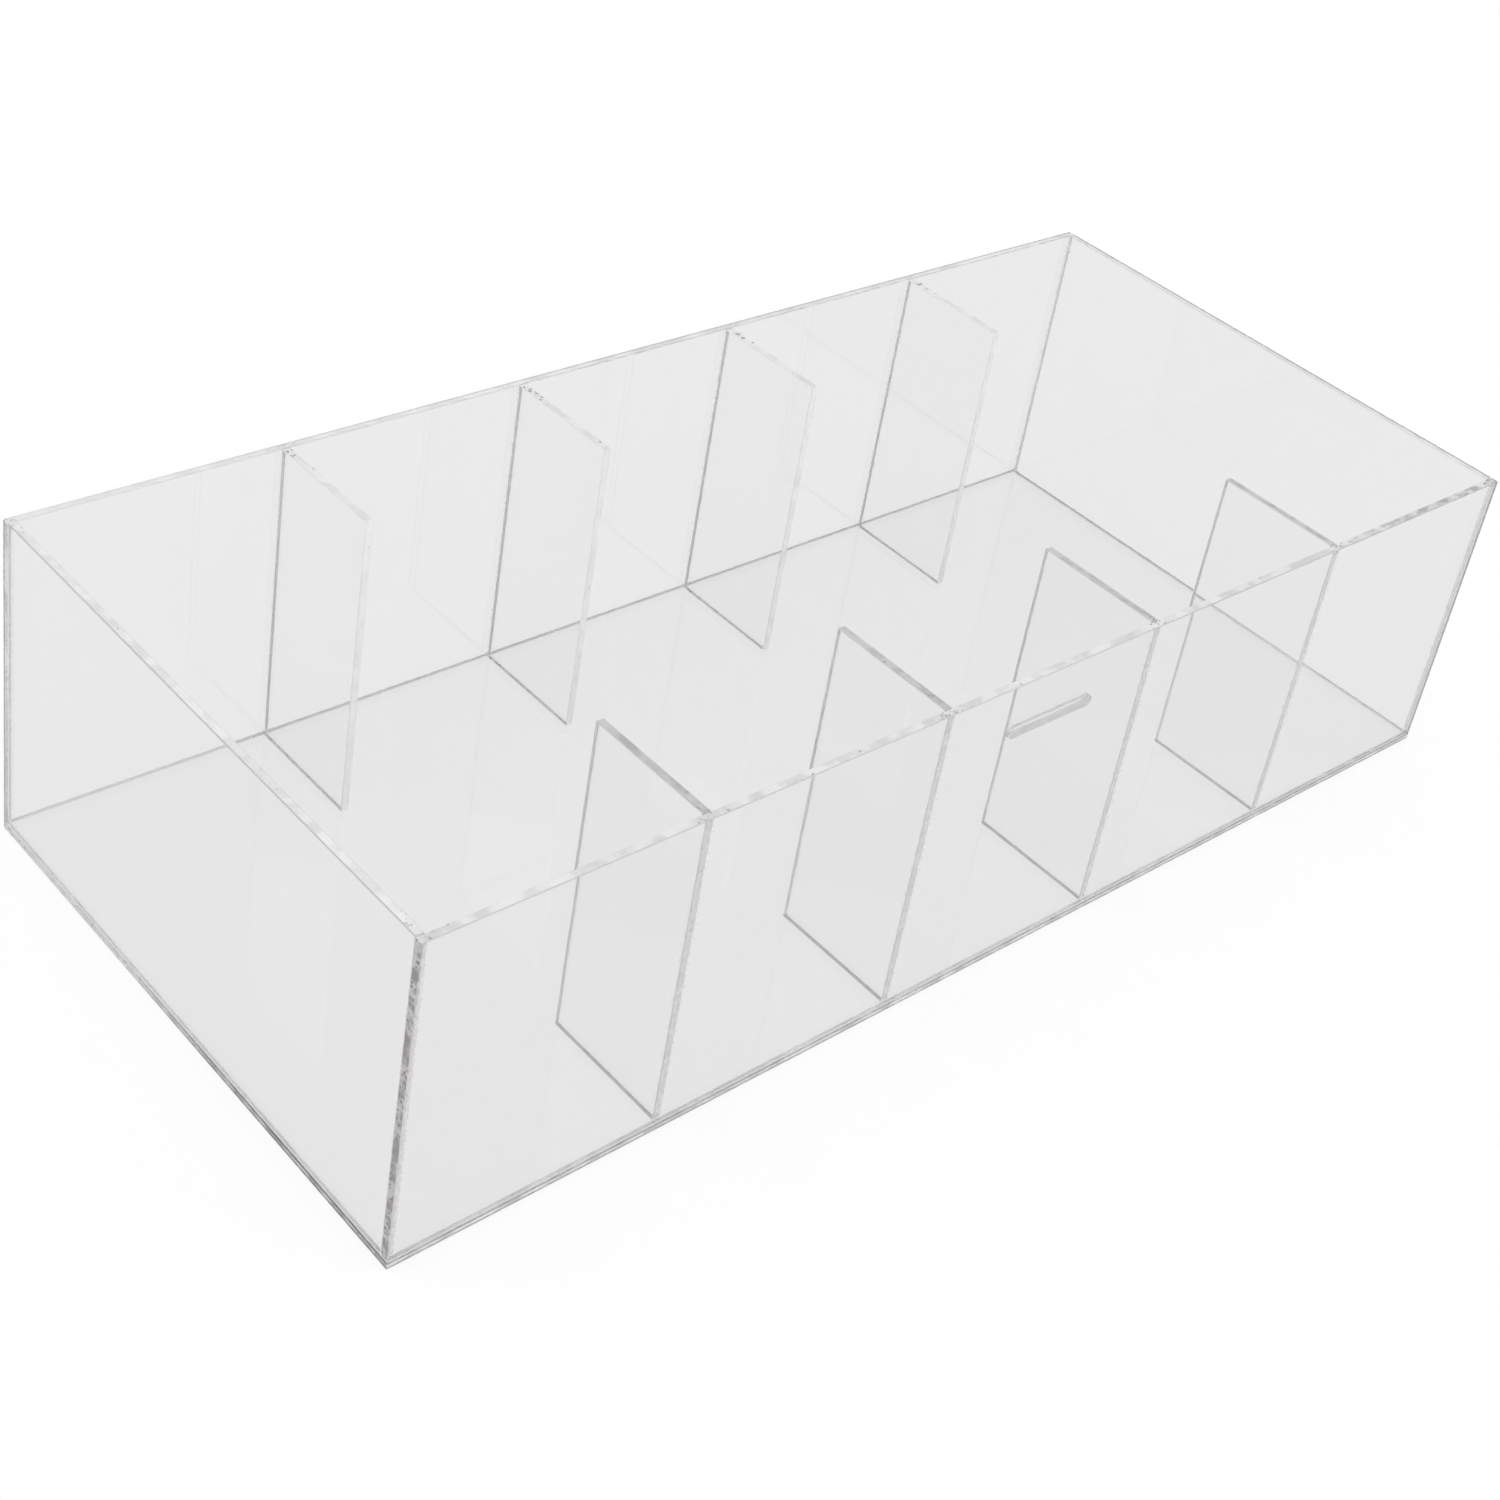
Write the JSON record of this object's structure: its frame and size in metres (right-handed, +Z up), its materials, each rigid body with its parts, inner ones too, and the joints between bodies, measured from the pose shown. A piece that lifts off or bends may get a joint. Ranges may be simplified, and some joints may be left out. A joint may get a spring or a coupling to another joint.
{
  "type": "cash tray",
  "caption": "Long open-top cash tray of clear acrylic sheet, with side-by-side banknote compartments, short paired dividers with a finger gap between them, and a routed slot in the front wall.",
  "frame": {"origin": "centre of the floor panel's underside, on the surface that the tray stands on", "axes": "+X along the tray's length, +Y from the front wall with the slot to the rear wall, +Z up"},
  "size_m": [0.381, 0.175, 0.095],
  "materials": {
    "clear_acrylic": "clear cast acrylic sheet, polished faces, saw-cut and lightly flamed edges, solvent-cemented joints"
  },
  "bodies": {
    "root": {"floor_panel": "clear_acrylic", "left_end_wall": "clear_acrylic", "right_end_wall": "clear_acrylic", "front_wall": "clear_acrylic", "rear_wall": "clear_acrylic", "rear_divider_1": "clear_acrylic", "rear_divider_2": "clear_acrylic", "rear_divider_3": "clear_acrylic", "rear_divider_4": "clear_acrylic", "front_divider_1": "clear_acrylic", "front_divider_2": "clear_acrylic", "front_divider_3": "clear_acrylic", "front_divider_4": "clear_acrylic"}
  },
  "joints": []
}
